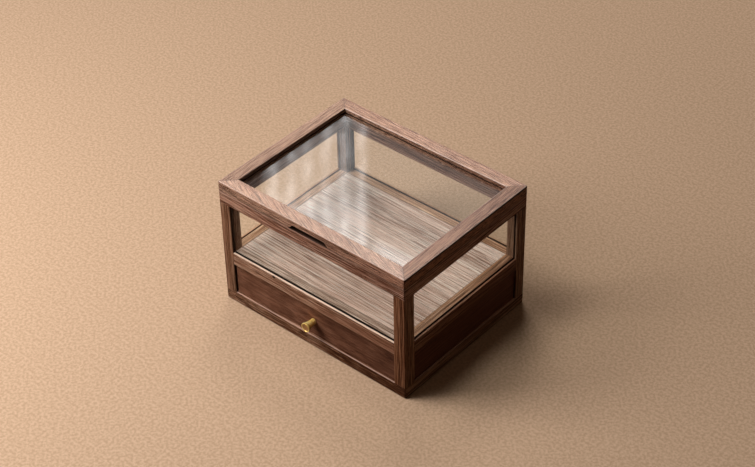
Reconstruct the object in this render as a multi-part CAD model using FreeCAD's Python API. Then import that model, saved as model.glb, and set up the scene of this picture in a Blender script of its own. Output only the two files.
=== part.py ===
import FreeCAD, Part
import math
import os

# Tea cabinet for a table top: a glazed display case over one drawer, closed by a glazed
# lid that is hinged at the back. Millimetres. X runs along the front from left to right,
# Y from front to back and Z up. The origin is the centre of the underside.

# Overall size, without the knob and the hinge knuckles
width = 320.0
depth = 250.0
height = 200.0

# Body frame: square posts, and rails as deep as a post is wide
stock = 18.6
top_rail_height = 18.2
mid_rail_height = 19.5
bottom_rail_height = 18.0
drawer_opening_height = 49.5
corner_round = 2.0
foot_chamfer = 1.5
seam_chamfer = 0.6
ease = 0.5

# Lid frame
lid_height = 15.5
lid_rail_width = 20.0
lid_seam = 0.3
lid_round = 1.8
lid_inner_round = 1.2

# Glass and thin panels, held in grooves behind an outer lip
lip = 3.3
glass_thickness = 3.0
panel_thickness = 4.0
sheet_clearance = 0.1
sheet_bite = 3.5
groove_spare = 0.5

# Tenons of the mid rails, and square stubs on the ends of the posts
tenon_setback = 0.4
tenon_thickness = 5.2
tenon_shoulder = 3.0
tenon_web = 0.3
stub_setback = 1.3
stub_size = 6.5
stub_length = 7.0
joint_clearance = 0.1

# Display floor: a board with a tongue all round, in grooves in the mid rails
floor_thickness = 9.0
floor_gap = 0.4
floor_cover = 2.5
tongue_thickness = 4.0
tongue_length = 4.0

# Base board under the drawer, let into a rebate round the underside of the bottom frame
base_thickness = 5.0
base_rebate = 6.0
base_gap = 0.2

# Strips that carry and guide the drawer
runner_width = 12.0
guide_height = 14.0
strip_clearance = 0.2

# Drawer
drawer_reveal = 1.0
drawer_recess = 3.0
drawer_back_gap = 0.5
drawer_side_clearance = 0.8
drawer_ride = 0.2
drawer_front_thickness = 14.0
drawer_front_lip = 6.0
drawer_side_thickness = 8.0
drawer_back_thickness = 8.0
drawer_back_drop = 4.0
drawer_housing = 3.0
drawer_bottom_thickness = 3.0
drawer_bottom_lift = 4.0
drawer_groove = 4.0
drawer_arris = 0.8

# Brass knob, turned, and the screw that holds it from inside the drawer
knob_length = 17.5
knob_foot_radius = 4.4
knob_foot_length = 1.2
knob_neck_radius = 3.7
knob_neck_length = 4.5
knob_flare_radius = 4.7
knob_flare_length = 6.5
knob_rim_radius = 6.2
knob_rim_length = 1.4
knob_face_radius = 7.0
knob_bevel = 0.5
knob_dish_radius = 5.6
knob_dish_depth = 0.4
screw_radius = 2.0
screw_clearance = 0.2
screw_grip = 8.0
screw_tip_room = 1.0
screw_head_radius = 4.0
screw_head_height = 2.2

# Finger slot cut into the lower edge of the lid's front rail
slot_mouth = 70.0
slot_run = 8.0
slot_height = 7.5
slot_depth = 9.0
slot_corner = 3.0

# Two brass butt hinges with a stop
hinge_inset = 60.0
hinge_length = 30.0
leaf_thickness = 1.2
leaf_depth = 10.0
leaf_clearance = 0.1
knuckle_radius = 2.2
knuckle_count = 3
knuckle_gap = 0.2
hinge_stand = 0.3
pin_radius = 1.0
pin_clearance = 0.05
stop_reach = 1.6
stop_sweep = 28.0
stop_clearance = 0.3
lid_open_angle = 95.0
turning_gap = 0.3
hinge_screw_radius = 1.1
hinge_screw_head_radius = 2.0
hinge_screw_length = 8.0
hinge_screw_spacing = 16.0
hinge_screw_inset = 5.5

# Levels and half sizes that follow from the sizes above
half_width = width / 2
half_depth = depth / 2
opening_x = half_width - stock
opening_y = half_depth - stock
mid_bottom = bottom_rail_height + drawer_opening_height
mid_top = mid_bottom + mid_rail_height
lid_bottom = height - lid_height
body_top = lid_bottom - lid_seam
top_rail_bottom = body_top - top_rail_height
glass_groove = glass_thickness + 2 * sheet_clearance
panel_groove = panel_thickness + 2 * sheet_clearance
groove_depth = sheet_bite + groove_spare
tenon_inset = lip + panel_groove + tenon_setback
tenon_length = stock - tenon_inset - tenon_thickness - 2 * joint_clearance - tenon_web
stub_inset = lip + panel_groove + stub_setback
stub_end = stub_inset + stub_size
over = 5.0

# A side piece is drawn as the front one, facing -Y, and then given quarter turns about Z.
# Each side has half the length of its opening, and the reach from the middle to its outer face.
side_names = ["front", "right", "back", "left"]
side_sizes = {
    "front": (opening_x, half_depth),
    "right": (opening_y, half_width),
    "back": (opening_x, half_depth),
    "left": (opening_y, half_width),
}


def box(x0, x1, y0, y1, z0, z1):
    """A block between two corners."""
    corner = FreeCAD.Vector(min(x0, x1), min(y0, y1), min(z0, z1))
    return Part.makeBox(abs(x1 - x0), abs(y1 - y0), abs(z1 - z0), corner)


def cylinder(radius, start, direction, length):
    """A round bar from a start point along a direction."""
    return Part.makeCylinder(radius, length, FreeCAD.Vector(*start), FreeCAD.Vector(*direction))


def outline(corners, to_space):
    """A closed face through corners (a, b, r): r above 0 rounds a corner, below 0 chamfers it."""
    count = len(corners)
    stops = []
    for i, (a, b, radius) in enumerate(corners):
        here = FreeCAD.Vector(a, b, 0)
        before = FreeCAD.Vector(*corners[i - 1][:2], 0) - here
        after = FreeCAD.Vector(*corners[(i + 1) % count][:2], 0) - here
        before.normalize()
        after.normalize()
        if radius <= 0:
            stops.append((here - before * radius, None, here - after * radius))
            continue
        half_angle = before.getAngle(after) / 2
        reach = radius / math.tan(half_angle)
        bisector = before + after
        bisector.normalize()
        middle = here + bisector * (radius / math.sin(half_angle) - radius)
        stops.append((here + before * reach, middle, here + after * reach))
    place = lambda point: FreeCAD.Vector(*to_space(point.x, point.y))
    edges = []
    for i, (first, middle, last) in enumerate(stops):
        if middle is not None:
            edges.append(Part.Arc(place(first), place(middle), place(last)).toShape())
        elif (last - first).Length > 1e-6:
            edges.append(Part.LineSegment(place(first), place(last)).toShape())
        following = stops[(i + 1) % count][0]
        if (following - last).Length > 1e-6:
            edges.append(Part.LineSegment(place(last), place(following)).toShape())
    return Part.Face(Part.Wire(edges))


def along_x(corners, x0, x1):
    """A section in Y and Z, drawn along X."""
    face = outline(corners, lambda y, z: (x0, y, z))
    return face.extrude(FreeCAD.Vector(x1 - x0, 0, 0))


def whole(shape):
    """The one solid in the result of a cut or a join."""
    return shape.removeSplitter().Solids[0]


def turned(shape, side):
    """A piece drawn for the front, turned to its side of the cabinet."""
    copy = shape.copy()
    copy.rotate(FreeCAD.Vector(0, 0, 0), FreeCAD.Vector(0, 0, 1), 90 * side_names.index(side))
    return copy


def level_edges(shape, level):
    """The edges that lie flat at one level."""
    return [e for e in shape.Edges if all(abs(v.Z - level) < 1e-6 for v in e.Vertexes)]


def footprint(z0, z1):
    """The cabinet's outline between two levels, with rounded corners."""
    block = box(-half_width, half_width, -half_depth, half_depth, z0, z1)
    uprights = [e for e in block.Edges if e.BoundBox.ZLength > (z1 - z0) / 2]
    return block.makeFillet(corner_round, uprights)


def lid_outline():
    """Outline of the lid: rounded above, eased along the seam."""
    block = footprint(lid_bottom, height)
    block = block.makeFillet(lid_round, level_edges(block, height))
    return block.makeChamfer(seam_chamfer, level_edges(block, lid_bottom))


def top_outline():
    """Outline of the top frame: eased along the seam and above the posts."""
    block = footprint(top_rail_bottom, body_top)
    block = block.makeChamfer(seam_chamfer, level_edges(block, body_top))
    return block.makeChamfer(ease, level_edges(block, top_rail_bottom))


def bottom_outline():
    """Outline of the bottom frame: eased under the posts, chamfered at the foot."""
    block = footprint(0, bottom_rail_height)
    block = block.makeChamfer(ease, level_edges(block, bottom_rail_height))
    return block.makeChamfer(foot_chamfer, level_edges(block, 0))


def mitred(section, side, rail_width, block):
    """A frame rail: its section along the side, trimmed to the block and mitred at 45 degrees."""
    half_opening, reach = side_sizes[side]
    half_outer = half_opening + stock
    bar = along_x([(y - reach, z, r) for y, z, r in section], -half_outer - over, half_outer + over)
    inner = rail_width + over
    low = block.BoundBox.ZMin - over
    mitre = outline([(-half_outer - over, -reach - over, 0), (half_outer + over, -reach - over, 0),
                     (half_outer - inner, -reach + inner, 0), (-half_outer + inner, -reach + inner, 0)],
                    lambda x, y: (x, y, low))
    mitre = mitre.extrude(FreeCAD.Vector(0, 0, block.BoundBox.ZLength + 2 * over))
    return whole(turned(bar.common(mitre), side).common(block))


def corner_stubs(z0, z1, grow):
    """The four square stubs at the post centres, made larger on every side by grow."""
    outer = -stub_inset + grow
    inner = -stub_end - grow
    return [box(side_x * (half_width + outer), side_x * (half_width + inner),
                side_y * (half_depth + outer), side_y * (half_depth + inner), z0, z1)
            for side_x in (-1, 1) for side_y in (-1, 1)]


def sheet_slot(side, thickness, z0, z1):
    """Room for a sheet behind the lip of one side, as long as the opening and its grooves."""
    half_opening, reach = side_sizes[side]
    half_length = half_opening + groove_depth
    return turned(box(-half_length, half_length, -reach + lip, -reach + lip + thickness, z0, z1), side)


def sheet(side, thickness, z0, z1):
    """Glass or panel of one side, seated in the groove below it and held by the others."""
    half_opening, reach = side_sizes[side]
    half_length = half_opening + sheet_bite
    front = -reach + lip + sheet_clearance
    return turned(box(-half_length, half_length, front, front + thickness,
                      z0 - groove_depth, z1 + sheet_bite), side)


# Lid

lid_opening_x = half_width - lid_rail_width
lid_opening_y = half_depth - lid_rail_width
lid_glass_bottom = lid_bottom + (lid_height - glass_thickness) / 2


def lid_rail(side, block, cuts):
    """Lid rail: rounded arrises, and a groove for the glass half way up its inner face."""
    g0 = lid_glass_bottom - sheet_clearance
    g1 = g0 + glass_groove
    inner = lid_rail_width
    section = [(-over, lid_bottom, 0), (inner, lid_bottom, 0), (inner, g0, 0),
               (inner - groove_depth, g0, 0), (inner - groove_depth, g1, 0), (inner, g1, 0),
               (inner, height, lid_inner_round), (-over, height, 0)]
    rail = mitred(section, side, lid_rail_width, block)
    for cut in cuts:
        rail = rail.cut(cut)
    return whole(rail)


def lid_glass():
    """Clear pane held in the groove of the lid rails."""
    half_x = lid_opening_x + sheet_bite
    half_y = lid_opening_y + sheet_bite
    return box(-half_x, half_x, -half_y, half_y, lid_glass_bottom, lid_glass_bottom + glass_thickness)


def finger_slot():
    """Cutter for the finger slot: a flat-topped notch with sloping ends and rounded corners."""
    spread = over * slot_run / slot_height
    half_mouth = slot_mouth / 2
    half_top = half_mouth - slot_run
    face = outline([(-half_mouth - spread, lid_bottom - over, 0),
                    (half_mouth + spread, lid_bottom - over, 0),
                    (half_top, lid_bottom + slot_height, slot_corner),
                    (-half_top, lid_bottom + slot_height, slot_corner)],
                   lambda x, z: (x, -half_depth - over, z))
    return face.extrude(FreeCAD.Vector(0, slot_depth + over, 0))


# Hinges

axis_y = half_depth + hinge_stand + knuckle_radius
axis_z = (lid_bottom + body_top) / 2
hinge_places = (-(half_width - hinge_inset), half_width - hinge_inset)
leaf_front = half_depth - leaf_depth
knuckle_pitch = hinge_length / knuckle_count


def hinge_points(x, y, z):
    """A point given from the middle of a hinge's axis, in the cabinet's frame."""
    return (x, axis_y + y, axis_z + z)


def sector(inner, outer, start, end, x0, x1):
    """A slice of a ring round the hinge axis; angles in degrees from +Y towards +Z."""
    def at(radius, angle):
        turn = math.radians(angle)
        return FreeCAD.Vector(*hinge_points(x0, radius * math.cos(turn), radius * math.sin(turn)))
    middle = (start + end) / 2
    edges = [Part.Arc(at(outer, start), at(outer, middle), at(outer, end)).toShape(),
             Part.LineSegment(at(outer, end), at(inner, end)).toShape(),
             Part.Arc(at(inner, end), at(inner, middle), at(inner, start)).toShape(),
             Part.LineSegment(at(inner, start), at(outer, start)).toShape()]
    return Part.Face(Part.Wire(edges)).extrude(FreeCAD.Vector(x1 - x0, 0, 0))


def hinge_leaf(for_lid):
    """A leaf with its knuckles and the stop rib behind them; the lid's leaf lies on top."""
    up = 1 if for_lid else -1
    face_z = lid_bottom if for_lid else body_top
    half_length = hinge_length / 2
    bore = pin_radius + pin_clearance
    rib_inner = knuckle_radius + turning_gap
    rib_outer = knuckle_radius + stop_reach
    stop_start = lid_open_angle / 2 + (0 if for_lid else stop_clearance)
    stop_angles = sorted((up * stop_start, up * (stop_start + stop_sweep)))
    own = [sector(rib_inner, rib_outer, *stop_angles, -half_length, half_length)]
    others = []
    for k in range(knuckle_count):
        x0 = -half_length + k * knuckle_pitch
        x1 = x0 + knuckle_pitch
        if (k % 2 == 1) == for_lid:
            start = x0 + knuckle_gap / 2
            end = x1 - knuckle_gap / 2
            own.append(cylinder(knuckle_radius, hinge_points(start, 0, 0), (1, 0, 0), end - start))
            own.append(sector(bore, rib_inner, *stop_angles, start, end))
        else:
            start = x0 - knuckle_gap / 2
            end = x1 + knuckle_gap / 2
            others.append(cylinder(rib_inner, hinge_points(start, 0, 0), (1, 0, 0), end - start))
    leaf = box(-half_length, half_length, leaf_front, axis_y, face_z, face_z + up * leaf_thickness)
    for other in others:
        leaf = leaf.cut(other)
    leaf = leaf.fuse(own)
    leaf = leaf.cut(cylinder(bore, hinge_points(-half_length - over, 0, 0), (1, 0, 0),
                             hinge_length + 2 * over))
    for x in (-hinge_screw_spacing / 2, hinge_screw_spacing / 2):
        leaf = leaf.cut(hinge_screw(x, face_z, up, leaf_clearance / 2))
    return whole(leaf)


def hinge_screw(x, face_z, up, grow=0.0):
    """Countersunk screw, head flush with the leaf; grow makes it the cutter for the leaf's hole."""
    direction = FreeCAD.Vector(0, 0, up)
    start = FreeCAD.Vector(x, half_depth - hinge_screw_inset, face_z)
    shank_radius = hinge_screw_radius + grow
    head = Part.makeCone(hinge_screw_head_radius + grow, shank_radius, leaf_thickness, start, direction)
    shank = Part.makeCylinder(shank_radius, hinge_screw_length - leaf_thickness,
                              start + direction * leaf_thickness, direction)
    return whole(head.fuse(shank))


def hinge_cuts(for_lid):
    """Pockets for both leaves and pilot holes for their screws, above or below the seam."""
    up = 1 if for_lid else -1
    face_z = lid_bottom if for_lid else body_top
    half_length = hinge_length / 2 + leaf_clearance
    cuts = []
    for place in hinge_places:
        cuts.append(box(place - half_length, place + half_length, leaf_front - leaf_clearance,
                        half_depth + over, face_z - up * over, face_z + up * leaf_thickness))
        for x in (-hinge_screw_spacing / 2, hinge_screw_spacing / 2):
            cuts.append(cylinder(hinge_screw_radius + leaf_clearance / 2,
                                 (place + x, half_depth - hinge_screw_inset, face_z), (0, 0, up),
                                 hinge_screw_length + leaf_clearance))
    return cuts


def hinge_pin():
    """Hinge pin, cut flush with the outer knuckles."""
    return cylinder(pin_radius, hinge_points(-hinge_length / 2, 0, 0), (1, 0, 0), hinge_length)


def at_hinges(shapes):
    """Copies of one hinge's pieces at both hinges, as one group of solids."""
    copies = []
    for place in hinge_places:
        for shape in shapes:
            copy = shape.copy()
            copy.translate(FreeCAD.Vector(place, 0, 0))
            copies.append(copy)
    return Part.makeCompound(copies)


def hinge_screws(for_lid):
    """The screws of one leaf."""
    up = 1 if for_lid else -1
    face_z = lid_bottom if for_lid else body_top
    return [hinge_screw(x, face_z, up) for x in (-hinge_screw_spacing / 2, hinge_screw_spacing / 2)]


# Body frame

def top_rail(side, block, cuts):
    """Top frame rail: plain section; the window groove is cut into its underside."""
    section = [(-over, top_rail_bottom, 0), (stock, top_rail_bottom, -ease),
               (stock, body_top, -ease), (-over, body_top, 0)]
    rail = mitred(section, side, stock, block)
    rail = rail.cut(sheet_slot(side, glass_groove, top_rail_bottom - over,
                               top_rail_bottom + groove_depth))
    for cut in cuts:
        rail = rail.cut(cut)
    return whole(rail)


def bottom_rail(side, block, cuts):
    """Bottom frame rail: rebated below for the base board, grooved on top for a lower panel."""
    section = [(-over, 0, 0), (stock - base_rebate, 0, 0), (stock - base_rebate, base_thickness, 0),
               (stock, base_thickness, 0), (stock, bottom_rail_height, -ease),
               (-over, bottom_rail_height, 0)]
    rail = mitred(section, side, stock, block)
    if side != "front":
        rail = rail.cut(sheet_slot(side, panel_groove, bottom_rail_height - groove_depth,
                                   bottom_rail_height + over))
    for cut in cuts:
        rail = rail.cut(cut)
    return whole(rail)


def mid_tenon(end, half_opening, reach, grow):
    """The tenon on one end of a mid rail, or the mortise for it when grow is set."""
    root = half_opening - (over if grow else 0)
    return box(end * root, end * (half_opening + tenon_length + grow),
               -reach + tenon_inset - grow, -reach + tenon_inset + tenon_thickness + grow,
               mid_bottom + tenon_shoulder - grow, mid_top - tenon_shoulder + grow)


def mid_rail(side):
    """Mid rail between two posts: window groove on top, floor groove inside, panel groove below."""
    half_opening, reach = side_sizes[side]
    t1 = mid_top - floor_cover + sheet_clearance
    t0 = mid_top - floor_cover - tongue_thickness - sheet_clearance
    tongue_groove = tongue_length + groove_spare
    section = [(0, mid_bottom, -ease)]
    if side != "front":
        section += [(lip, mid_bottom, 0), (lip, mid_bottom + groove_depth, 0),
                    (lip + panel_groove, mid_bottom + groove_depth, 0),
                    (lip + panel_groove, mid_bottom, 0)]
    section += [(stock, mid_bottom, -ease), (stock, t0, 0), (stock - tongue_groove, t0, 0),
                (stock - tongue_groove, t1, 0), (stock, t1, 0), (stock, mid_top, 0),
                (lip + glass_groove, mid_top, 0), (lip + glass_groove, mid_top - groove_depth, 0),
                (lip, mid_top - groove_depth, 0), (lip, mid_top, 0), (0, mid_top, -ease)]
    bar = along_x([(y - reach, z, r) for y, z, r in section], -half_opening, half_opening)
    bar = bar.fuse([mid_tenon(end, half_opening, reach, 0) for end in (-1, 1)])
    return turned(whole(bar), side)


def post(side_x, side_y):
    """Corner post with stubs at its ends, mortises for the mid rails and grooves for the sheets."""
    column = box(-half_width, -opening_x, -half_depth, -opening_y, bottom_rail_height, top_rail_bottom)

    uprights = [e for e in column.Edges if e.BoundBox.ZLength > stock]
    uprights.sort(key=lambda e: e.BoundBox.Center.x + e.BoundBox.Center.y)
    column = column.makeFillet(corner_round, uprights[:1])
    uprights = [e for e in column.Edges if e.BoundBox.ZLength > stock]
    uprights.sort(key=lambda e: e.BoundBox.Center.x + e.BoundBox.Center.y)
    column = column.makeChamfer(ease, uprights[2:])
    if side_x > 0:
        column = column.mirror(FreeCAD.Vector(0, 0, 0), FreeCAD.Vector(1, 0, 0))
    if side_y > 0:
        column = column.mirror(FreeCAD.Vector(0, 0, 0), FreeCAD.Vector(0, 1, 0))
    stubs = corner_stubs(bottom_rail_height - stub_length, top_rail_bottom + stub_length, 0)
    centre = column.BoundBox.Center
    column = column.fuse([s for s in stubs if (s.BoundBox.Center - centre).Length < stock])
    for side in side_names:
        half_opening, reach = side_sizes[side]
        cuts = [sheet_slot(side, glass_groove, mid_top - groove_depth, top_rail_bottom)]
        cuts += [turned(mid_tenon(end, half_opening, reach, joint_clearance), side) for end in (-1, 1)]
        if side != "front":
            cuts.append(sheet_slot(side, panel_groove, bottom_rail_height, mid_bottom + groove_depth))
        for cut in cuts:
            column = column.cut(cut)
    return whole(column)


def display_floor():
    """Floor of the display case: a board with a tongue on each side, cut away at the posts."""
    half_x = opening_x - floor_gap
    half_y = opening_y - floor_gap
    t1 = mid_top - floor_cover
    t0 = t1 - tongue_thickness
    board = box(-half_x, half_x, -half_y, half_y, mid_top - floor_thickness, mid_top)
    reach_x = opening_x + tongue_length
    reach_y = opening_y + tongue_length
    along = box(-reach_x, reach_x, -half_y, half_y, t0, t1)
    across = box(-half_x, half_x, -reach_y, reach_y, t0, t1)
    return whole(board.fuse([along, across]))


def base_board():
    """Board under the drawer, flush with the underside of the frame that it is let into."""
    half_x = opening_x + base_rebate - base_gap
    half_y = opening_y + base_rebate - base_gap
    return box(-half_x, half_x, -half_y, half_y, 0, base_thickness)


def drawer_runner(side_x):
    """Strip on the base board, beside the bottom rail, that the drawer slides on."""
    half_length = opening_y - strip_clearance
    return box(side_x * (opening_x - runner_width), side_x * (opening_x - strip_clearance),
               -half_length, half_length, base_thickness, bottom_rail_height)


def drawer_guide(side_x):
    """Strip on the bottom side rail, between the posts, that keeps the drawer straight."""
    half_length = opening_y - strip_clearance
    outer = half_width - lip - panel_groove - strip_clearance
    return box(side_x * opening_x, side_x * outer, -half_length, half_length,
               bottom_rail_height, bottom_rail_height + guide_height)


# Drawer

front_y = -half_depth + drawer_recess
front_back_y = front_y + drawer_front_thickness
front_bottom = bottom_rail_height + drawer_reveal
front_top = mid_bottom - drawer_reveal
side_bottom = bottom_rail_height + drawer_ride
side_outer = opening_x - drawer_side_clearance
side_inner = side_outer - drawer_side_thickness
rear_y = half_depth - lip - panel_groove - drawer_back_gap
drawer_floor_bottom = side_bottom + drawer_bottom_lift
drawer_floor_top = drawer_floor_bottom + drawer_bottom_thickness
knob_z = (front_bottom + front_top) / 2


def drawer_bottom(grow=0.0):
    """Thin bottom that slides in under the back; grow makes it the groove for it."""
    half_x = side_inner + drawer_groove - (0 if grow else groove_spare)
    front = front_back_y - drawer_groove + (0 if grow else groove_spare)
    return box(-half_x, half_x, front, rear_y + (over if grow else 0),
               drawer_floor_bottom - grow, drawer_floor_top + grow)


def drawer_front():
    """Drawer front with eased arrises, rebated for the sides and bored for the knob screw."""
    half_x = opening_x - drawer_reveal
    panel = box(-half_x, half_x, front_y, front_back_y, front_bottom, front_top)
    face_edges = [e for e in panel.Edges if all(abs(v.Y - front_y) < 1e-6 for v in e.Vertexes)]
    panel = panel.makeFillet(drawer_arris, face_edges)
    for side_x in (-1, 1):
        panel = panel.cut(box(side_x * side_inner, side_x * (half_x + over), front_y + drawer_front_lip,
                              front_back_y + over, front_bottom - over, front_top + over))
    panel = panel.cut(drawer_bottom(sheet_clearance))
    hole = cylinder(screw_radius + screw_clearance, (0, front_y - over, knob_z), (0, 1, 0),
                    drawer_front_thickness + 2 * over)
    return whole(panel.cut(hole))


def drawer_side(side_x):
    """Drawer side, grooved for the bottom and housed for the back."""
    board = box(side_x * side_inner, side_x * side_outer, front_y + drawer_front_lip, rear_y,
                side_bottom, front_top)
    rims = [e for e in level_edges(board, front_top) if e.BoundBox.YLength > stock]
    board = board.makeChamfer(drawer_arris, rims)
    board = board.cut(drawer_bottom(sheet_clearance))
    return whole(board.cut(box(side_x * (side_inner - over), side_x * (side_inner + drawer_housing),
                               rear_y - drawer_back_thickness, rear_y + over,
                               drawer_floor_top, front_top + over)))


def drawer_back():
    """Drawer back, standing on the bottom and housed in both sides."""
    half_x = side_inner + drawer_housing
    return box(-half_x, half_x, rear_y - drawer_back_thickness, rear_y,
               drawer_floor_top + sheet_clearance, front_top - drawer_back_drop)


def knob_profile():
    """Half section of the knob: foot, neck, a flare in two slopes, and a bevelled, dished face."""
    neck_end = knob_foot_length + knob_neck_length
    flare_end = neck_end + knob_flare_length
    rim_start = knob_length - knob_rim_length
    dish_floor = knob_length - knob_dish_depth
    stations = [(0, 0), (0, knob_foot_radius), (knob_foot_length, knob_foot_radius),
                (knob_foot_length, knob_neck_radius), (neck_end, knob_neck_radius),
                (flare_end, knob_flare_radius), (rim_start, knob_rim_radius),
                (rim_start, knob_face_radius), (knob_length - knob_bevel, knob_face_radius),
                (knob_length, knob_face_radius - knob_bevel), (knob_length, knob_dish_radius),
                (dish_floor, knob_dish_radius), (dish_floor, 0), (0, 0)]
    points = [FreeCAD.Vector(radius, front_y - out, knob_z) for out, radius in stations]
    return Part.Face(Part.makePolygon(points))


def drawer_knob():
    """Turned trumpet knob with a hole in its foot for the screw."""
    body = knob_profile().revolve(FreeCAD.Vector(0, front_y, knob_z), FreeCAD.Vector(0, 1, 0), 360)
    hole = cylinder(screw_radius + sheet_clearance, (0, front_y + over, knob_z), (0, -1, 0),
                    over + screw_grip + screw_tip_room)
    return whole(body.cut(hole))


def knob_screw():
    """Cheese-head screw from inside the drawer, through the front, into the knob."""
    shank_length = drawer_front_thickness + screw_grip
    shank = cylinder(screw_radius, (0, front_back_y, knob_z), (0, -1, 0), shank_length)
    head = cylinder(screw_head_radius, (0, front_back_y, knob_z), (0, 1, 0), screw_head_height)
    return whole(shank.fuse(head))


def build():
    """Every piece by name, in its place with the lid and the drawer closed."""
    parts = {}
    lid_block, top_block, bottom_block = lid_outline(), top_outline(), bottom_outline()
    top_mortises = corner_stubs(top_rail_bottom - over, top_rail_bottom + stub_length + joint_clearance,
                                joint_clearance)
    bottom_mortises = corner_stubs(bottom_rail_height - stub_length - joint_clearance,
                                   bottom_rail_height + over, joint_clearance)
    lid_cuts = {"front": [finger_slot()], "back": hinge_cuts(True)}
    for side in side_names:
        parts["lid_%s_rail" % side] = lid_rail(side, lid_block, lid_cuts.get(side, []))
        hinge_pockets = hinge_cuts(False) if side == "back" else []
        parts["top_%s_rail" % side] = top_rail(side, top_block, top_mortises + hinge_pockets)
        parts["mid_%s_rail" % side] = mid_rail(side)
        parts["bottom_%s_rail" % side] = bottom_rail(side, bottom_block, bottom_mortises)
        parts["window_%s_glass" % side] = sheet(side, glass_thickness, mid_top, top_rail_bottom)
        if side != "front":
            parts["lower_%s_panel" % side] = sheet(side, panel_thickness, bottom_rail_height, mid_bottom)
    parts["lid_glass"] = lid_glass()
    for name_y, side_y in (("front", -1), ("back", 1)):
        for name_x, side_x in (("left", -1), ("right", 1)):
            parts["post_%s_%s" % (name_y, name_x)] = post(side_x, side_y)
    parts["display_floor"] = display_floor()
    parts["base_board"] = base_board()
    for name_x, side_x in (("left", -1), ("right", 1)):
        parts["drawer_%s_runner" % name_x] = drawer_runner(side_x)
        parts["drawer_%s_guide" % name_x] = drawer_guide(side_x)
        parts["drawer_%s_side" % name_x] = drawer_side(side_x)
    parts["drawer_front"] = drawer_front()
    parts["drawer_back"] = drawer_back()
    parts["drawer_bottom"] = drawer_bottom()
    parts["drawer_knob"] = drawer_knob()
    parts["knob_screw"] = knob_screw()
    parts["hinge_lid_leaves"] = at_hinges([hinge_leaf(True)])
    parts["hinge_body_leaves"] = at_hinges([hinge_leaf(False)])
    parts["hinge_pins"] = at_hinges([hinge_pin()])
    parts["hinge_lid_screws"] = at_hinges(hinge_screws(True))
    parts["hinge_body_screws"] = at_hinges(hinge_screws(False))
    return parts


os.makedirs("parts", exist_ok=True)
for name, shape in build().items():
    shape.exportStep("parts/%s.step" % name)
    print("%-22s solids %d  volume %10.1f" % (name, len(shape.Solids), shape.Volume))
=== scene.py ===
# A walnut tea cabinet for a table top: a glazed case with a hinged glazed lid over one drawer.

import math

import bpy
import numpy as np
from mathutils import Matrix, Vector


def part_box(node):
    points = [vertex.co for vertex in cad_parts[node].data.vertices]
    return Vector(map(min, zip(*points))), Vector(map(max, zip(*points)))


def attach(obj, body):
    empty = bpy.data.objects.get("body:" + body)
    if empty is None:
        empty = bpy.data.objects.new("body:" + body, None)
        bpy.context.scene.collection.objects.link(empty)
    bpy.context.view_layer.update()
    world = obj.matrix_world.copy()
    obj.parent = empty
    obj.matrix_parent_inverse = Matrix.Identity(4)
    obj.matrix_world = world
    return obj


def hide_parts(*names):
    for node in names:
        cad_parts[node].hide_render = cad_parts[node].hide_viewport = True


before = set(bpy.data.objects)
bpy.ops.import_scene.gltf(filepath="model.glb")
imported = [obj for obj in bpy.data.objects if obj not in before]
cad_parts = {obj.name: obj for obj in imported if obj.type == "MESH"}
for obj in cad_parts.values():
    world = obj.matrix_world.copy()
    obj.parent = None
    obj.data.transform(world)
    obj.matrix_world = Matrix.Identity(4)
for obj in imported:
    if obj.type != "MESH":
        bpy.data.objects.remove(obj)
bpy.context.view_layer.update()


# Camera: it stands to the right of the front and looks down on the lid, as in the photograph.
# Its place, turn and lens were fitted to the cabinet's seven outer corners that show there.
camera_place = Vector((1.2810, -1.4426, 1.6595))
camera_turn = math.radians(41.434)
camera_rise = math.radians(38.672)
camera_roll = math.radians(-1.258)
lens_pixels = 1850.6
frame_pixels = 755
sensor_width = 36.0

behind = Vector((
    math.sin(camera_turn) * math.cos(camera_rise),
    -math.cos(camera_turn) * math.cos(camera_rise),
    math.sin(camera_rise),
))
level_right = Vector((0.0, 0.0, 1.0)).cross(behind).normalized()
level_up = behind.cross(level_right)
right = level_right * math.cos(camera_roll) + level_up * math.sin(camera_roll)
up = level_up * math.cos(camera_roll) - level_right * math.sin(camera_roll)

camera_data = bpy.data.cameras.new("camera")
camera_data.sensor_width = sensor_width
camera_data.lens = lens_pixels / frame_pixels * sensor_width
camera = bpy.data.objects.new("camera", camera_data)
camera.matrix_world = Matrix((
    (right.x, up.x, behind.x, camera_place.x),
    (right.y, up.y, behind.y, camera_place.y),
    (right.z, up.z, behind.z, camera_place.z),
    (0.0, 0.0, 0.0, 1.0),
))
bpy.context.scene.collection.objects.link(camera)
bpy.context.scene.camera = camera
bpy.context.scene.view_settings.view_transform = "Standard"


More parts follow.
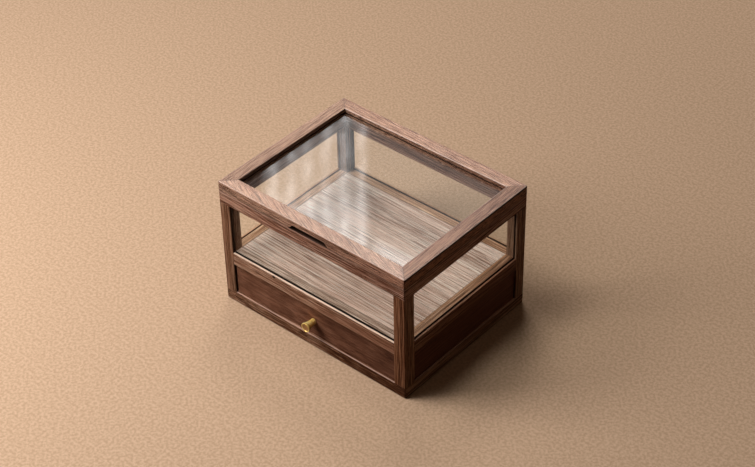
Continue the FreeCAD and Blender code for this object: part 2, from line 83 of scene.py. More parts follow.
# Floor: a wide sheet of pale warm paper, which takes the cabinet's shadow and shows through its
# windows. Far out, where the lamps don't reach, it is lit by itself. Its bounce is held down, as
# dark flags would do in a studio.
class Flow:
    """One value on its way through a material; a sum written on it becomes a Math node."""

    def __init__(self, tree, socket=None):
        self.tree = tree
        self.socket = socket

    def node(self, kind, settings=None, sockets=None, output=0):
        """Adds a node: its settings, where stops fill a ramp, then its sockets' values or links."""
        added = self.tree.nodes.new("ShaderNode" + kind)
        for name, value in (settings or {}).items():
            if name == "stops":
                ramp = added.color_ramp.elements
                ramp.remove(ramp[1])
                ramp[0].position, ramp[0].color = value[0]
                for place, colour in value[1:]:
                    ramp.new(place).color = colour
            else:
                setattr(added, name, value)
        for name, value in (sockets or {}).items():
            if isinstance(value, Flow):
                self.tree.links.new(value.socket, added.inputs[name])
            else:
                added.inputs[name].default_value = value
        return Flow(self.tree, added.outputs[output])

    def math(self, operation, first, second=0.0):
        return self.node("Math", {"operation": operation}, {0: first, 1: second})

    def __add__(self, other):
        return self.math("ADD", self, other)

    def __radd__(self, other):
        return self.math("ADD", other, self)

    def __sub__(self, other):
        return self.math("SUBTRACT", self, other)

    def __rsub__(self, other):
        return self.math("SUBTRACT", other, self)

    def __mul__(self, other):
        return self.math("MULTIPLY", self, other)

    def __rmul__(self, other):
        return self.math("MULTIPLY", other, self)

    def __truediv__(self, other):
        return self.math("DIVIDE", self, other)

    def __rtruediv__(self, other):
        return self.math("DIVIDE", other, self)

    def __pow__(self, other):
        return self.math("POWER", self, other)

    def __abs__(self):
        return self.math("ABSOLUTE", self)


def tone(red, green, blue):
    """A colour from a paint chart's numbers, 0 to 255, as the light it sends back."""
    shares = [part / 255 for part in (red, green, blue)]
    light = [s / 12.92 if s <= 0.04045 else ((s + 0.055) / 1.055) ** 2.4 for s in shares]
    return tuple(light) + (1.0,)


def new_material(name):
    """An empty material, the Flow that starts it and the socket that its shader goes to."""
    material = bpy.data.materials.new(name)
    material.use_nodes = True
    material.node_tree.nodes.clear()
    output = material.node_tree.nodes.new("ShaderNodeOutputMaterial")
    return material, Flow(material.node_tree), output.inputs["Surface"]


def object_place(start):
    """The point on the piece, in metres from the middle of the cabinet's foot."""
    return start.node("TexCoord", output="Object")


def noise(place, scales, detail=2.0, roughness=0.5):
    """Soft noise about 0.5, with its own number of patches to the metre along each axis."""
    scaled = place.node("VectorMath", {"operation": "MULTIPLY"}, {0: place, 1: scales})
    sockets = {"Vector": scaled, "Scale": 1.0, "Detail": detail, "Roughness": roughness}
    return place.node("TexNoise", None, sockets)


def rise(value, low, high):
    """0 below low, 1 above high, and an even curve between."""
    sockets = {"Value": value, "From Min": low, "From Max": high}
    return value.node("MapRange", {"interpolation_type": "SMOOTHSTEP"}, sockets)


def mixed(share, first, second, blend="MIX"):
    """Two colours mixed by a share, which may change over the surface."""
    settings = {"data_type": "RGBA", "blend_type": blend}
    start = next(part for part in (share, first, second) if isinstance(part, Flow))
    return start.node("Mix", settings, {0: share, 6: first, 7: second}, output=2)


def grid_mesh(name, points, across_closed=False):
    """A sheet through a grid of points, rows first; the last column joins the first when closed."""
    rows, columns = points.shape[:2]
    numbers = np.arange(rows * columns).reshape(rows, columns)
    if across_closed:
        numbers = np.concatenate([numbers, numbers[:, :1]], axis=1)
    corners = [numbers[:-1, :-1], numbers[:-1, 1:], numbers[1:, 1:], numbers[1:, :-1]]
    faces = np.stack(corners, axis=-1)
    mesh = bpy.data.meshes.new(name)
    mesh.from_pydata(points.reshape(-1, 3).tolist(), [], faces.reshape(-1, 4).tolist())
    return mesh


def placed(name, mesh, material):
    """A new object of this mesh in the scene, at the origin."""
    mesh.materials.append(material)
    piece = bpy.data.objects.new(name, mesh)
    bpy.context.scene.collection.objects.link(piece)
    return piece


floor_reach = 15.0
floor_bounce = tone(92, 72, 54)
unlit = (0.0, 0.0, 0.0, 1.0)

paper, start, surface = new_material("floor_paper")
place = object_place(start)
mottle = noise(place, (260.0, 260.0, 260.0), detail=3.0, roughness=0.6)
shown = mixed(rise(mottle, 0.35, 0.65), tone(193, 159, 129), tone(214, 180, 150))
by_bounce = start.node("LightPath", output="Is Diffuse Ray")
sheet = start.node("BsdfDiffuse", None, {"Color": mixed(by_bounce, shown, floor_bounce)})
from_middle = place.node("VectorMath", {"operation": "LENGTH"}, {0: place}, output="Value")
away = rise(from_middle, 0.25, 3.0)
far_light = mixed(away * (1 - by_bounce), unlit, shown)
lit = start.node("Emission", None, {"Color": far_light, "Strength": 0.7})
whole = start.node("AddShader", None, {0: sheet, 1: lit})
start.tree.links.new(whole.socket, surface)
ends = np.linspace(-floor_reach, floor_reach, 3)
floor_x, floor_y = np.meshgrid(ends, ends)
floor_points = np.stack([floor_x, floor_y, np.zeros_like(floor_x)], axis=-1)
floor = placed("floor", grid_mesh("floor", floor_points), paper)


# Light: a broad soft box overhead to the left, a smaller and lower one at the front left, which
# throws the knob's shadow to the right, and a window at the back left. The room shows pale beyond
# the floor.
def soft_box(name, toward, distance, aim, size, watts):
    """A square soft lamp this far from a point, along a direction, and facing it."""
    lamp = bpy.data.lights.new(name, "AREA")
    lamp.shape = "SQUARE"
    lamp.size = size
    lamp.energy = watts
    holder = bpy.data.objects.new(name, lamp)
    direction = Vector(toward).normalized()
    turn = direction.to_track_quat("Z", "Y").to_matrix().to_4x4()
    holder.matrix_world = Matrix.Translation(Vector(aim) + direction * distance) @ turn
    holder.visible_camera = False
    bpy.context.scene.collection.objects.link(holder)
    return holder


soft_box("overhead_box", toward=(-0.38, -0.30, 0.87), distance=2.0, aim=(0.0, 0.0, 0.1),
         size=1.2, watts=20.0)
front_box = soft_box("front_box", toward=(-0.56, -0.51, 0.65), distance=1.4,
                     aim=(-0.05, -0.12, 0.08), size=0.62, watts=12.0)
soft_box("window_light", toward=(-0.36, 0.41, 0.84), distance=2.2, aim=(0.0, 0.0, 0.1),
         size=0.7, watts=10.0)
# The front box's light passes the front left post, as the photograph has no shadow of it.
let_through = bpy.data.collections.new("let_through")
let_through.objects.link(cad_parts["post_front_left"])
let_through.collection_objects[0].light_linking.link_state = "EXCLUDE"
front_box.light_linking.blocker_collection = let_through

room = bpy.data.worlds.new("room")
room.use_nodes = True
room.node_tree.nodes.clear()
start = Flow(room.node_tree)
seen = start.node("LightPath", output="Is Camera Ray")
mirrored = start.node("LightPath", output="Is Glossy Ray")
passed = start.node("LightPath", output="Is Transmission Ray")
shown = (seen + mirrored + passed).math("MINIMUM", seen + mirrored + passed, 1.0)
fill_light = (0.047, 0.036, 0.026, 1.0)
pale_wall = (0.50, 0.45, 0.40, 1.0)
glow = mixed(shown, fill_light, pale_wall)
shade = start.node("Background", None, {"Color": glow, "Strength": 1.0})
room_output = room.node_tree.nodes.new("ShaderNodeOutputWorld")
room.node_tree.links.new(shade.socket, room_output.inputs["Surface"])
bpy.context.scene.world = room


# Window card: a tall window, out of the picture at the back left, with a sheer curtain in upright
# folds below its rod. Only its mirror image shows, as pale bands on the left of the lid's glass
# and a glow at the glass's near corner, by the front rail.
def parts_of(place):
    """The three parts of a point, or of a spot on a map."""
    outputs = place.node("SeparateXYZ", None, {"Vector": place}).socket.node.outputs
    return [Flow(place.tree, outputs[name]) for name in "XYZ"]


glass_level = 0.1937
sight = -behind
sight_length = (camera_place.z - glass_level) / behind.z
lid_point = camera_place + sight * sight_length
card_distance = 2.5
flip = Vector((1.0, 1.0, -1.0))
card_normal = sight * flip
card_right = right * flip
card_rise = -(up * flip)
card_middle = lid_point + card_normal * card_distance
across = np.linspace(-0.60, 0.55, 13)
along = np.linspace(-0.45, 1.25, 18)
card_s, card_t = np.meshgrid(across, along)
card_points = (
    np.array(card_middle)
    + card_s[..., None] * np.array(card_right)
    + card_t[..., None] * np.array(card_rise)
)
card_mesh = grid_mesh("window_card", card_points)
card_map = card_mesh.uv_layers.new(name="card_metres")
corner = np.empty(len(card_mesh.loops), dtype=np.int32)
card_mesh.loops.foreach_get("vertex_index", corner)
flat = np.stack([card_s.ravel(), card_t.ravel()], axis=-1)[corner]
card_map.data.foreach_set("uv", flat.ravel())

curtain, start, surface = new_material("window_curtain")
place = start.node("UVMap", {"uv_map": "card_metres"})
side, level = parts_of(place)[:2]
fold_step = 0.0466
bright_fold = -0.1335
sway = 0.012 * (noise(place, (9.0, 14.0, 1.0), detail=1.0) - 0.5)
wave = 0.5 + 0.5 * side.math("COSINE", (side + sway - bright_fold) * (2 * math.pi / fold_step))
clouds = rise(noise(place, (27.0, 21.0, 1.0), detail=2.0), 0.38, 0.64)
begun = rise(side, -0.312, -0.284)
hung = begun * (1 - rise(side, -0.042, -0.012))
upper_light = 2.1 * rise(level, -0.13, -0.05)
veil = hung * (0.70 + 1.0 * wave + (0.8 + 0.9 * wave) * clouds + upper_light)
below_rod = 1 - rise(level, 0.02, 0.05)
haze = 0.12 * rise(level, -0.03, 0.09)
corner_glow = rise(level - 0.5 * side, 0.002, 0.040) * rise(side, -0.030, 0.020) + haze
upper_pane = rise(level, 0.16, 0.30)
strength = 0.1 + 0.5 * begun + veil * below_rod + 4.2 * corner_glow + 7.0 * upper_pane
lit = start.node("Emission", None, {"Color": (1.0, 0.985, 0.975, 1.0), "Strength": strength})
start.tree.links.new(lit.socket, surface)
card = placed("window_card", card_mesh, curtain)
card.visible_camera = False
card.visible_diffuse = False
card.visible_transmission = False
card.visible_shadow = False


# Bottom frame: four walnut rails mitred at the corners and rebated below for the base board.
# Walnut is cut along each rail, oiled to a satin, with open pores and long darker streaks.
sides = (("front", "X"), ("right", "Y"), ("back", "X"), ("left", "Y"))
# The case is this much longer from its middle to a side than from its middle to the front.
side_lead = 0.035


def band(value, low, high, blur=0.0003):
    """1 between low and high, and 0 beyond them."""
    return rise(value, low - blur, low) * (1 - rise(value, high, high + blur))


def larger(first, second):
    return first.math("MAXIMUM", first, second)


def darkened(colour, share):
    """A colour taken this far to near black, for a dark joint or for painted shade in a groove or
    corner.
    """
    return mixed(share, colour, (0.006, 0.003, 0.002, 1.0))


def from_axis(x, y):
    """Distance from the cabinet's middle, counted so that all four sides come at one value."""
    return larger(abs(x) - side_lead, abs(y))


def toned(shade, tones):
    """A wood's colour: its four tones laid over its shade, from dark to light."""
    stops = [(0.0, tones[0]), (0.34, tones[1]), (0.62, tones[2]), (0.95, tones[3])]
    return shade.node("ValToRGB", {"stops": stops}, {"Fac": shade})


def mitre_line(x, y, colour):
    """A thin dark joint where two rails meet at 45 degrees."""
    from_mitre = abs(abs(x) - abs(y) - side_lead)
    colour = darkened(colour, 0.5 * (1 - rise(from_mitre, 0.0002, 0.0007)))
    return darkened(colour, 0.14 * (1 - rise(from_mitre, 0.0, 0.005)))


def put_on(material, *nodes):
    """Gives these pieces of the CAD one material."""
    for node in nodes:
        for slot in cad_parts[node].material_slots:
            slot.material = material


def wood(node, grain, tones, seed, heart=(0.05, 0.035), ring=0.0021, lean=0.01, slant=(0.0, 0.0),
         wander=0.030, figure=0.32, broad=0.6, streaks=1.0, fineness=1.0, breaks=1.0, mottle=0.0,
         pores=0.6, gloss=0.05, roughness=0.5, polish=0.0, painted_falloff=None, marks=None):
    """Wood cut along one axis of a node, and put on it.

    A ring's tone follows the distance from the log's heart, which lies beside the piece, so that
    rings run out into arches on a flat face. Noise drawn out along the grain gives the bands,
    streaks and fibres, and its peaks are the pores, which are darker, rougher and sunk. The grain
    runs off the piece's axis by the lean, and on its top face by the slant, which may bend.
    """
    low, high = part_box(node)
    middle = (low + high) / 2
    material, start, surface = new_material(node + "_wood")
    x, y, z = parts_of(object_place(start))
    axes = {"X": x - middle.x, "Y": y - middle.y, "Z": z - middle.z}
    order = {"X": "YZX", "Y": "XZY", "Z": "XYZ"}[grain]
    wide, deep, long = (axes[name] for name in order)
    across = wide + lean * long
    on_top = rise(z, high.z - 0.0010, high.z - 0.0004)
    if slant != (0.0, 0.0):
        across = across + on_top * (slant[0] * long + slant[1] * (long * long))
    shifted = {0: across + seed * 0.37, 1: deep - seed * 0.23, 2: long + seed * 1.7}
    board = start.node("CombineXYZ", None, shifted)
    fine_stagger = noise(board, (1300.0, 1300.0, 0.0), detail=0.0)
    stagger = noise(board, (460.0, 460.0, 0.0), detail=1.0) + 0.4 * fine_stagger
    cells = start.node("CombineXYZ", None, {**shifted, 2: long + 0.4 * stagger})
    if slant != (0.0, 0.0):
        scale = 0.58 + 0.42 * on_top
        cells = start.node("VectorMath", {"operation": "SCALE"}, {0: cells, "Scale": scale})

    drift = across - heart[0] + wander * (noise(board, (7.0, 7.0, 5.0), detail=1.0) - 0.5)
    radius = (drift * drift + (deep - heart[1]) ** 2.0) ** 0.5
    count = radius / ring + 0.5 * noise(board, (90.0, 90.0, 9.0))
    turn = count.math("FRACT", count)
    late = rise(turn, 0.25, 0.85) * (1 - rise(turn, 0.85, 1.0))
    ring_place = start.node("CombineXYZ", None, {0: radius, 1: seed, 2: long})
    strong = rise(noise(ring_place, (0.45 / ring, 1.0, 4.0)), 0.35, 0.62)

    bands = noise(board, (48.0, 48.0, 2.2), detail=1.0) - 0.5
    streak = noise(cells, (400.0 * fineness, 400.0 * fineness, 6.0 * breaks), detail=1.0) - 0.5
    line = noise(cells, (820.0 * fineness, 820.0 * fineness, 16.0 * breaks), detail=1.0) - 0.5
    fibre = noise(cells, (2400.0, 2400.0, 60.0), detail=2.0) - 0.5
    lively = 0.55 + 0.90 * rise(noise(board, (26.0, 26.0, 7.0)), 0.36, 0.64)
    shade = 0.60 + streaks * (broad * bands + lively * (1.4 * streak + 2.2 * line + 1.2 * fibre))
    shade = shade - figure * late * (0.2 + 0.8 * strong)
    if mottle:
        shade = shade + mottle * (noise(board, (75.0, 75.0, 32.0), detail=3.0) - 0.5)
    # Painted shade: the wood is painted darker past a point along its length, where the light falls
    # off.
    if painted_falloff is not None:
        shade = shade + painted_falloff[0] * rise(long, painted_falloff[1], painted_falloff[2])
    colour = toned(shade, tones)
    vessel = rise(noise(cells, (780.0, 780.0, 34.0), detail=1.0), 0.57, 0.68)
    pore = rise(noise(cells, (2600.0, 2600.0, 85.0), detail=1.0), 0.57, 0.66)
    if marks is not None:
        colour = marks(x, y, z, colour, shade)
    colour = darkened(colour, larger(0.55 * pores * vessel, pores * pore))
    height = 0.00003 * fibre - 0.00007 * pore - 0.00003 * vessel
    bump = start.node("Bump", None, {"Height": height, "Distance": 1.0, "Strength": 1.0})
    rough = roughness + 0.12 * pore - 0.10 * fibre
    sockets = {"Base Color": colour, "Roughness": rough, "Normal": bump, "Specular IOR Level": gloss}
    if polish:
        sockets["Coat Weight"] = polish * rise(z, high.z - 0.0008, high.z - 0.0002)
        sockets["Coat Roughness"] = 0.42
    shader = start.node("BsdfPrincipled", None, sockets)
    start.tree.links.new(shader.socket, surface)
    put_on(material, node)


def bottom_marks(x, y, z, colour, shade):
    """Mitres, a painted highlight where the drawer front and panels stand back, and painted shade at
    the foot.
    """
    # Painted highlight: the ledge in front of the set-back drawer front and panels is painted light.
    ledge = band(z, 0.0179, 0.0190) * rise(from_axis(x, y), 0.1228, 0.1232)
    colour = mixed(0.65 * ledge, colour, tone(232, 190, 170))
    # Painted shade: the lowest 3 mm of the rails are painted darker, where they meet the floor.
    return darkened(mitre_line(x, y, colour), 0.6 * (1 - rise(z, 0.0008, 0.0030)))


frame_tones = (tone(62, 31, 15), tone(123, 76, 50), tone(169, 117, 86), tone(212, 165, 133))
wood("bottom_front_rail", "X", frame_tones, 1.0, heart=(0.015, 0.05), ring=0.0034, lean=0.03,
     streaks=1.2, fineness=1.4, breaks=1.6, mottle=0.7, painted_falloff=(-0.30, -0.08, 0.13), marks=bottom_marks)
for number, (name, grain) in enumerate(sides[1:]):
    wood("bottom_" + name + "_rail", grain, frame_tones, 2.0 + number, marks=bottom_marks)


# Posts: four square walnut posts, stub-tenoned into the mitred corners of the frames. Each is cut
# from a quartered stick, so its grain runs straight up. Faces to the right are painted lighter
# than the front, and those in the openings and grooves are painted dark, as painted shade.
def glass_grooves(x, y):
    """1 in the grooves that hold the window panes, over the whole height of the case."""
    across_front = band(abs(y), 0.1181, 0.1220) * (1 - rise(abs(x), 0.1590, 0.1595))
    across_side = band(abs(x), 0.1531, 0.1570) * (1 - rise(abs(y), 0.1240, 0.1245))
    return larger(across_front, across_side)


def post_marks(x, y, z, colour, shade):
    """Painted light on the faces to the right, painted shade in the openings and the panes' grooves."""
    # Painted light: the right-hand faces take the lighter frame tones.
    colour = mixed(rise(x, 0.1590, 0.1595), colour, toned(shade, frame_tones))
    # Painted shade on the faces in the openings, deeper toward the back and in the drawer opening.
    beside_panes = 0.15 + 0.33 * rise(y, 0.0, 0.1)
    in_opening = larger(beside_panes, 0.85 * rise(from_axis(x, y), 0.1217, 0.1220))
    in_opening = larger(in_opening, 0.95 * (1 - rise(z, 0.0675, 0.0680)))
    colour = darkened(colour, in_opening * (1 - rise(abs(x), 0.1415, 0.1419)))
    # Painted shade on the faces inside the case.
    colour = darkened(colour, 0.55 * (1 - rise(abs(y), 0.1065, 0.1069)))
    # Painted shade in the panes' grooves.
    return darkened(colour, 0.75 * glass_grooves(x, y) * band(z, 0.0700, 0.1825, 0.0002))


# The front right post takes a darker copy of the frame's tones: painted shade at the near corner.
shaded_post_tones = (tone(53, 24, 11), tone(106, 57, 33), tone(136, 84, 56), tone(172, 118, 85))
left_post_tones = (tone(58, 29, 14), tone(115, 70, 46), tone(158, 108, 79), tone(199, 153, 122))
post_tones = (left_post_tones, shaded_post_tones, frame_tones, frame_tones)
for number, name in enumerate(("front_left", "front_right", "back_right", "back_left")):
    wood("post_" + name, "Z", post_tones[number], 5.0 + number, heart=(0.05, 0.03),
         ring=0.0024, streaks=1.6, fineness=1.5, breaks=2.0, marks=post_marks)


# Mid rails: four walnut rails between the posts, level with the display floor. Outside the pane
# their lip shows as a fine ledge with a painted highlight, lightest at the front. Inside it they
# are a pale strip round the board. Painted shade darkens the pane's edge and the grooves.
def nick(x, y, z):
    """1 in a small dark flaw at the top edge of the front rail's face."""
    from_flaw = ((0.75 * (x + 0.067)) ** 2.0 + (z - 0.0850) ** 2.0) ** 0.5
    return (1 - rise(from_flaw, 0.0016, 0.0024)) * (1 - rise(y, -0.1249, -0.1240))


def mid_marks(strip_tones, joint, joint_share, edge_share, groove_share, lip, lip_share):
    """Top of a mid rail: strip, joint with the board, painted shade by the pane, painted highlight on
    the lip.
    """
    def marks(x, y, z, colour, shade):
        out = from_axis(x, y)
        top = rise(z, 0.0864, 0.0868)
        colour = mixed(top * (1 - rise(out, 0.1186, 0.1190)), colour, toned(shade, strip_tones))
        # Painted highlight: the lip outside the pane is painted in a light tone.
        colour = mixed(lip_share * top * rise(out, 0.1221, 0.1225), colour, lip)
        # Painted shade along the pane's edge.
        pane_edge = top * band(out, 0.1182, 0.1222, 0.0002)
        colour = darkened(colour, edge_share * pane_edge)
        colour = mixed(joint_share * top * (1 - rise(out, 0.1072, 0.1076)), colour, joint)
        colour = darkened(colour, 0.90 * nick(x, y, z))
        # Painted shade in the panes' grooves.
        return darkened(colour, groove_share * glass_grooves(x, y) * band(z, 0.0700, 0.0869, 0.0002))
    return marks


# The right rail takes a darker copy of the mid rails' tones: painted shade on the side away from the
# lamps.
shaded_mid_tones = (tone(68, 34, 20), tone(135, 86, 61), tone(171, 121, 93), tone(202, 159, 131))
mid_tones = (tone(90, 48, 30), tone(168, 112, 85), tone(206, 153, 121), tone(236, 193, 162))
limed_tones = (tone(112, 84, 68), tone(176, 144, 124), tone(218, 187, 166), tone(240, 218, 202))
peach_tones = (tone(132, 88, 60), tone(190, 142, 108), tone(220, 174, 138), tone(236, 198, 166))
sand_tones = (tone(90, 56, 38), tone(156, 112, 83), tone(198, 149, 115), tone(232, 190, 158))
shadow_line = tone(40, 24, 16)
# The lips' tones are painted highlights, brightest at the front and faint on the right.
mid_tops = {
    "front": mid_marks(limed_tones, shadow_line, joint_share=0.15, edge_share=0.95,
                       groove_share=0.97, lip=tone(255, 222, 196), lip_share=0.95),
    "right": mid_marks(sand_tones, tone(206, 146, 98), joint_share=0.7, edge_share=0.95,
                       groove_share=0.97, lip=tone(178, 130, 104), lip_share=0.2),
    "back": mid_marks(peach_tones, shadow_line, joint_share=0.35, edge_share=0.60,
                      groove_share=0.85, lip=peach_tones[2], lip_share=0.5),
    "left": mid_marks(peach_tones, shadow_line, joint_share=0.50, edge_share=0.20,
                      groove_share=0.45, lip=peach_tones[2], lip_share=0.5),
}
for number, (name, grain) in enumerate(sides):
    wood("mid_" + name + "_rail", grain, shaded_mid_tones if name == "right" else mid_tones,
         9.0 + number, heart=(0.06, 0.02), figure=0.24, fineness=1.5, breaks=1.5,
         painted_falloff=(-0.30, -0.15, 0.12), marks=mid_tops[name])


# Top frame: four mitred walnut rails on the posts. The lid lies on them.
# Painted shade darkens their inside faces, the floor of the finger slot, a band below the seam and
# the grooves, and a painted highlight lightens the edge at the seam.
def over_slot(x):
    """1 over the length of the finger slot, at the middle of the front."""
    return 1 - rise(abs(x), 0.0352, 0.0356)


def top_marks(x, y, z, colour, shade):
    """Mitres; painted shade inside, in the slot, below the seam and in the grooves; a painted
    highlight.
    """
    outside = rise(from_axis(x, y), 0.1240, 0.1244)
    # Painted shade in a band on the outside, just below the seam.
    colour = darkened(colour, 0.35 * outside * band(z, 0.1808, 0.1822))
    # Painted shade on the inside faces.
    inside = 1 - rise(from_axis(x, y), 0.1066, 0.1070)
    colour = darkened(mitre_line(x, y, colour), 0.50 * inside)
    # Painted shade on the floor of the finger slot.
    in_slot = rise(z, 0.1838, 0.1841) * over_slot(x) * band(y, -0.1243, -0.1155)
    colour = darkened(colour, 0.84 * in_slot + 0.12 * in_slot * rise(y, -0.1230, -0.1210))
    # Painted highlight: a light edge at the seam, weaker toward the right.
    edge_share = 0.45 - 0.30 * rise(x, 0.0, 0.05)
    edge = edge_share * outside * rise(z, 0.1830, 0.1836)
    colour = mixed(edge * (1 - in_slot), colour, tone(226, 182, 160))
    # Painted shade in the panes' grooves.
    return darkened(colour, 0.97 * glass_grooves(x, y) * band(z, 0.1600, 0.1825, 0.0002))


top_tones = (tone(80, 42, 28), tone(157, 101, 78), tone(204, 147, 119), tone(236, 189, 162))
for number, (name, grain) in enumerate(sides):
    wood("top_" + name + "_rail", grain, top_tones, 13.0 + number, figure=0.40, streaks=1.9,
         fineness=1.4, breaks=1.8, painted_falloff=(-0.16, -0.12, 0.12), marks=top_marks)


# Lower panels: thin walnut boards set back in grooves on the right, left and back.
# They are a darker board with a quiet grain.
panel_tones = (tone(49, 24, 14), tone(90, 51, 36), tone(115, 70, 51), tone(138, 90, 68))
for number, (name, grain) in enumerate(sides[1:]):
    wood("lower_" + name + "_panel", grain, panel_tones, 17.0 + number, heart=(0.03, 0.10),
         figure=0.14, streaks=0.5, mottle=0.3)


# Display floor: one board in limed walnut veneer, tongued into the mid rails.
# The lime pales it and leaves long fine lines in its grain; its left end is painted paler, as painted
# light.
board_tones = (tone(130, 92, 73), tone(200, 160, 139), tone(243, 207, 187), tone(255, 238, 222))


def board_marks(x, y, z, colour, shade):
    """Painted light toward the left, and darker where it meets the rails."""
    # Painted light: the board is painted paler toward its left end.
    paler = 0.85 * (1 - rise(x, -0.115, -0.060))
    colour = mixed(paler, colour, toned(shade + 0.14, board_tones))
    return darkened(colour, 0.35 * rise(from_axis(x, y), 0.1052, 0.1056))


wood("display_floor", "X", board_tones, 20.0, heart=(-0.30, 0.06), ring=0.0046, lean=0.03,
     wander=0.012, figure=0.20, broad=0.35, streaks=1.05, fineness=2.0, breaks=1.6,
     roughness=0.6, marks=board_marks)


# Glass: four clear window panes in grooves behind the outer lip, and the pane of the lid.
# Lamps shine through them; the eye gets their mirror image and faint tint.
def clear_glass(name, bend, *nodes):
    """Float glass: real glass to the eye, and tinted air to the lamps and to bounced light."""
    material, start, surface = new_material(name)
    to_lamp = start.node("LightPath", output="Is Shadow Ray")
    to_wood = start.node("LightPath", output="Is Diffuse Ray")
    air = start.node("BsdfTransparent", None, {"Color": (0.96, 0.965, 0.955, 1.0)})
    smear = noise(object_place(start), (18.0, 18.0, 18.0), detail=3.0)
    sockets = {"Base Color": (0.975, 0.985, 0.975, 1.0), "Roughness": rise(smear, 0.2, 0.9) * 0.02,
               "IOR": bend, "Transmission Weight": 1.0}
    pane = start.node("BsdfPrincipled", None, sockets)
    inner = start.node("MixShader", None, {0: to_wood, 1: pane, 2: air})
    outer = start.node("MixShader", None, {0: to_lamp, 1: inner, 2: air})
    start.tree.links.new(outer.socket, surface)
    put_on(material, *nodes)


clear_glass("thin_window_glass", 1.14, "window_front_glass", "window_right_glass",
            "window_back_glass", "window_left_glass")
clear_glass("lid_float_glass", 1.5, "lid_glass")


# Base board, runners and guides: plain light wood under and beside the drawer, glued in.
# They are sanded and waxed, and out of sight until the drawer is pulled.
lining_tones = (tone(168, 132, 96), tone(196, 160, 120), tone(214, 181, 142), tone(228, 200, 164))


def lining(node, grain, seed):
    wood(node, grain, lining_tones, seed, heart=(0.03, 0.12), ring=0.0050, figure=0.22, streaks=0.5,
         pores=0.12, gloss=0.25, roughness=0.55)


lining("base_board", "X", 21.0)
for number, side in enumerate(("left", "right")):
    lining("drawer_" + side + "_runner", "Y", 22.0 + number)
    lining("drawer_" + side + "_guide", "Y", 24.0 + number)


# Drawer: a walnut front on a box of light wood, with the bottom let in below the sides and back.
# The front is a darker, quieter board than the rails around it.
front_tones = (tone(70, 38, 26), tone(121, 77, 57), tone(152, 102, 78), tone(176, 125, 99))
wood("drawer_front", "X", front_tones, 26.0, heart=(0.10, 0.04), ring=0.0018, figure=0.08, streaks=0.42,
     fineness=2.0, breaks=4.0, mottle=1.0, pores=0.8, painted_falloff=(-0.22, -0.13, 0.10))
for number, name in enumerate(("left_side", "right_side")):
    lining("drawer_" + name, "Y", 27.0 + number)
lining("drawer_back", "X", 29.0)
lining("drawer_bottom", "X", 30.0)


# Knob: a small brass trumpet, turned in one piece and screwed on from inside the drawer. It has a
# neck that widens like a horn to a rim, and a round face with a dish.
def brass(name, rub, stain_and_shade=None, metal=0.35):
    """Satin brass under clear lacquer, the duller the lower its metal share.

    It has fine tool marks along one axis and, where one is given, a brown stain and painted shade.
    """
    material, start, surface = new_material(name)
    place = object_place(start)
    marks = noise(place, rub, detail=3.0)
    wear = noise(place, (160.0, 160.0, 160.0), detail=3.0)
    colour = mixed(rise(wear, 0.35, 0.7), (1.0, 0.68, 0.19, 1.0), (1.0, 0.82, 0.34, 1.0))
    if stain_and_shade is not None:
        colour = mixed(stain_and_shade(place), colour, (0.33, 0.13, 0.05, 1.0))
    bump = start.node("Bump", None, {"Height": 0.00011 * marks, "Distance": 1.0})
    sockets = {"Base Color": colour, "Metallic": metal, "Roughness": 0.22 + 0.14 * wear, "Normal": bump}
    shader = start.node("BsdfPrincipled", None, sockets)
    start.tree.links.new(shader.socket, surface)
    return material


knob_low, knob_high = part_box("drawer_knob")
knob_z = (knob_low.z + knob_high.z) / 2
# Distance from the drawer front and radius, both in millimetres, along the knob's outline.
knob_outline = np.array([
    (0.0, 0.0), (0.0, 4.3), (0.2, 4.5), (1.0, 4.5), (3.0, 4.55), (5.0, 4.7), (7.0, 4.9), (9.0, 5.15),
    (11.0, 5.45), (12.5, 5.75), (13.8, 6.05), (14.5, 6.3), (14.9, 6.55), (15.2, 6.8), (15.6, 6.95),
    (16.0, 7.0), (17.0, 7.0), (17.35, 6.85), (17.5, 6.5), (17.5, 6.15), (17.3, 5.9), (16.9, 5.6),
    (16.6, 5.0), (16.35, 4.0), (16.2, 2.8), (16.12, 1.4), (16.1, 0.0),
]) / 1000
steps = np.linalg.norm(np.diff(knob_outline, axis=0), axis=1)
place_along = np.concatenate([[0.0], np.cumsum(steps)])
finer = np.linspace(0.0, place_along[-1], 150)
out = np.interp(finer, place_along, knob_outline[:, 0])
wide = np.interp(finer, place_along, knob_outline[:, 1])
angle = np.linspace(0.0, 2 * np.pi, 96, endpoint=False)
knob_points = np.stack([
    wide[:, None] * np.cos(angle),
    np.broadcast_to((knob_high.y - out)[:, None], (len(finer), len(angle))),
    knob_z + wide[:, None] * np.sin(angle),
], axis=-1)
knob_mesh = grid_mesh("turned_knob", knob_points, across_closed=True)


def knob_stain_and_shade(place):
    """Brown in the dish of the knob's face, and painted shade in dull brown low on the right of its
    side.
    """
    x, y, z = parts_of(place)
    off_axis = (x * x + (z - knob_z) ** 2.0) ** 0.5
    behind_rim = rise(y, knob_low.y + 0.0022, knob_low.y + 0.0030)
    # Painted shade: the lower right of the neck, away from the lamps, is painted a dull brown.
    painted_shade = 0.50 * rise(x - (z - knob_z), 0.0012, 0.0066) * behind_rim
    at_face = 1 - rise(y, knob_low.y + 0.0016, knob_low.y + 0.0020)
    return painted_shade + 0.86 * (1 - rise(off_axis, 0.0049, 0.0058)) * at_face


knob = placed("turned_knob", knob_mesh, brass("knob_brass", (300.0, 9000.0, 300.0), knob_stain_and_shade))
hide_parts("drawer_knob")
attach(knob, "drawer")


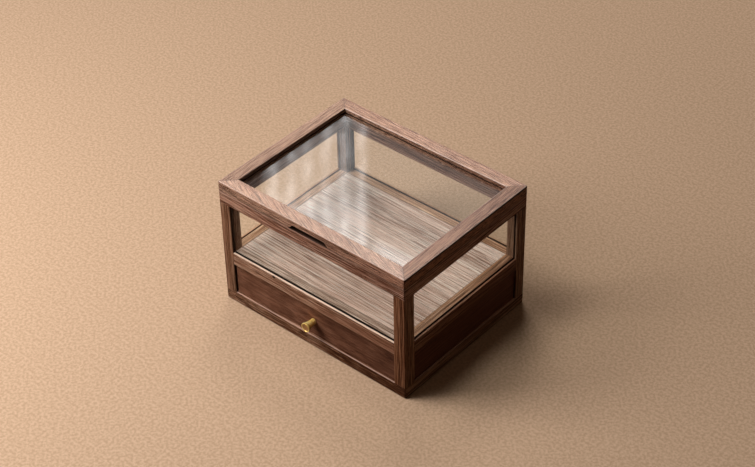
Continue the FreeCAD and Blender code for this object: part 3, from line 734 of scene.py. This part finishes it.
# Lid: four walnut rails mitred round a pane of glass, which sits in a groove half way up them.
# The wood is a paler, pinker board than the case; the front rail has the finger slot.
lid_tones = (tone(120, 69, 49), tone(174, 121, 94), tone(206, 157, 126), tone(227, 187, 158))
lid_back_tones = (tone(110, 63, 40), tone(165, 112, 82), tone(200, 146, 113), tone(228, 180, 149))
lid_left_tones = (tone(93, 56, 37), tone(140, 98, 74), tone(171, 127, 101), tone(202, 161, 134))
lid_side_tones = (tone(57, 27, 15), tone(143, 86, 62), tone(203, 143, 113), tone(243, 194, 164))
lid_right_tones = (tone(76, 43, 29), tone(126, 84, 62), tone(154, 108, 84), tone(183, 139, 113))
# The right rail's side faces take a darker copy of the side tones: painted shade away from the lamps.
lid_shaded_side_tones = (tone(23, 9, 4), tone(97, 52, 33), tone(172, 112, 81), tone(230, 174, 138))


def lid_marks(inside_share, inner_share, side_tones=lid_side_tones, contrast=1.3):
    """Mitres, painted highlights on the arrises, and painted shade in the pane's groove, the finger
    slot, the seam and under the right-hand arris.

    Side faces have their own tones and contrast, painted darker toward the right, and inside faces
    go dark by a share as painted shade.
    """
    middle_shade = 0.56
    right_shade_tint = (0.88, 0.77, 0.74, 1.0)
    highlight_tone = tone(246, 216, 200)

    def marks(x, y, z, colour, shade):
        out = from_axis(x, y)
        at_top = rise(z, 0.1990, 0.1996)
        side_shade = middle_shade + contrast * (shade - middle_shade)
        side_colour = toned(side_shade, side_tones)
        # Painted shade: the side faces are tinted darker and redder toward the right.
        side_colour = mixed(rise(x, -0.09, 0.12), side_colour, right_shade_tint, "MULTIPLY")
        colour = mixed(0.90 * (1 - at_top), colour, side_colour)
        # Painted highlight on the outer arris, strongest near the right end, and on the inner arris by
        # a share.
        arris_share = 0.45 + 0.35 * rise(x, 0.1300, 0.1500)
        arris = rise(out, 0.1234, 0.1240) * at_top
        inner_arris = (1 - rise(out, 0.1060, 0.1065)) * at_top
        painted_highlight = larger(arris_share * arris, inner_share * inner_arris)
        colour = mixed(painted_highlight, mitre_line(x, y, colour), highlight_tone)
        # Painted shade along the seam under the lid, deeper toward the right.
        seam_share = 0.70 + 0.22 * rise(x, 0.0, 0.05)
        seam = seam_share * rise(out, 0.1240, 0.1244) * (1 - rise(z, 0.1853, 0.1860))
        colour = darkened(colour, seam)
        # Painted shade on the inside faces, by a share.
        colour = darkened(colour, inside_share * (1 - rise(out, 0.1052, 0.1056)))
        # Painted shade in a dark line where the inside face meets the pane.
        colour = darkened(colour, 0.85 * band(z, 0.1935, 0.1944) * (1 - rise(out, 0.1056, 0.1060)))
        # Painted shade in a dark line on the right face just under the top arris.
        colour = darkened(colour, 0.90 * rise(x, 0.1590, 0.1594) * band(z, 0.1972, 0.1990))
        # Painted shade in the pane's groove and the finger slot.
        in_groove = rise(out, 0.1051, 0.1054) * (1 - rise(out, 0.1220, 0.1230))
        in_groove = in_groove * band(z, 0.1906, 0.1939)
        in_slot = band(y, -0.1246, -0.1155) * over_slot(x) * (1 - rise(z, 0.1921, 0.1925))
        return darkened(colour, larger(0.97 * in_groove, 0.95 * in_slot))
    return marks


wood("lid_front_rail", "X", lid_tones, 31.0, heart=(0.010, -0.06), slant=(0.40, -0.30),
     figure=0.05, broad=0.2, streaks=2.2, fineness=4.0, breaks=14.0, pores=1.0, polish=0.8,
     marks=lid_marks(inside_share=0.35, inner_share=0.0))
wood("lid_right_rail", "Y", lid_right_tones, 32.0, heart=(0.04, -0.05), lean=0.03,
     figure=0.14, streaks=3.1, fineness=2.3, breaks=4.0, polish=0.4,
     marks=lid_marks(inside_share=0.75, inner_share=0.4, side_tones=lid_shaded_side_tones, contrast=1.6))
wood("lid_back_rail", "X", lid_back_tones, 33.0, heart=(0.02, -0.07), lean=0.06,
     figure=0.10, broad=0.3, streaks=3.3, fineness=2.4, breaks=4.0, pores=0.8, polish=0.7,
     marks=lid_marks(inside_share=0.28, inner_share=0.6))
wood("lid_left_rail", "Y", lid_left_tones, 34.0, heart=(0.03, -0.07), lean=0.03,
     figure=0.12, streaks=3.2, fineness=2.6, breaks=4.5, polish=0.5,
     marks=lid_marks(inside_share=0.68, inner_share=0.0))


# Hinges: two small brass butt hinges with a stop, let into the back edges of lid and case,
# with steel pins and countersunk brass screws.
def steel(name):
    """Zinc-plated steel with faint cloudy patches."""
    material, start, surface = new_material(name)
    cloud = noise(object_place(start), (900.0, 900.0, 900.0), detail=3.0)
    colour = mixed(rise(cloud, 0.3, 0.7), (0.50, 0.50, 0.51, 1.0), (0.64, 0.64, 0.65, 1.0))
    sockets = {"Base Color": colour, "Metallic": 1.0, "Roughness": 0.25 + 0.2 * cloud}
    shader = start.node("BsdfPrincipled", None, sockets)
    start.tree.links.new(shader.socket, surface)
    return material


put_on(brass("hinge_brass", (4000.0, 300.0, 300.0), metal=0.85),
       "hinge_lid_leaves", "hinge_body_leaves", "hinge_lid_screws", "hinge_body_screws")
put_on(steel("zinc_steel"), "hinge_pins", "knob_screw")
